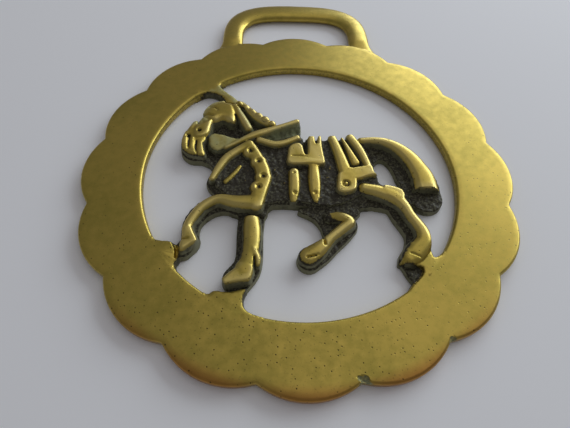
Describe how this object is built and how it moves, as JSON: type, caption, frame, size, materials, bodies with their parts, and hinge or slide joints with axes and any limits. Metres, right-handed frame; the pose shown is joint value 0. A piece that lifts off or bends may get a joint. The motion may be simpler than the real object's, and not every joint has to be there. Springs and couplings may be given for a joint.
{
  "type": "horse brass",
  "caption": "Cast brass harness ornament: a scalloped ring with a strap loop at the top and a heavy horse in harness, in relief, standing inside it.",
  "frame": {"origin": "on the flat back of the plate, under the middle of the whole outline", "axes": "the brass lies face up: +Z out of its face, +Y towards the strap loop, +X to the right of someone who looks at the face with the loop at the top; the horse faces -X"},
  "size_m": [0.0816, 0.0952, 0.0037],
  "materials": {
    "cast_brass": "sand cast, worn bright on the high places, dark patina and verdigris in the recesses"
  },
  "bodies": {
    "root": {"horse_brass": "cast_brass"}
  },
  "joints": []
}
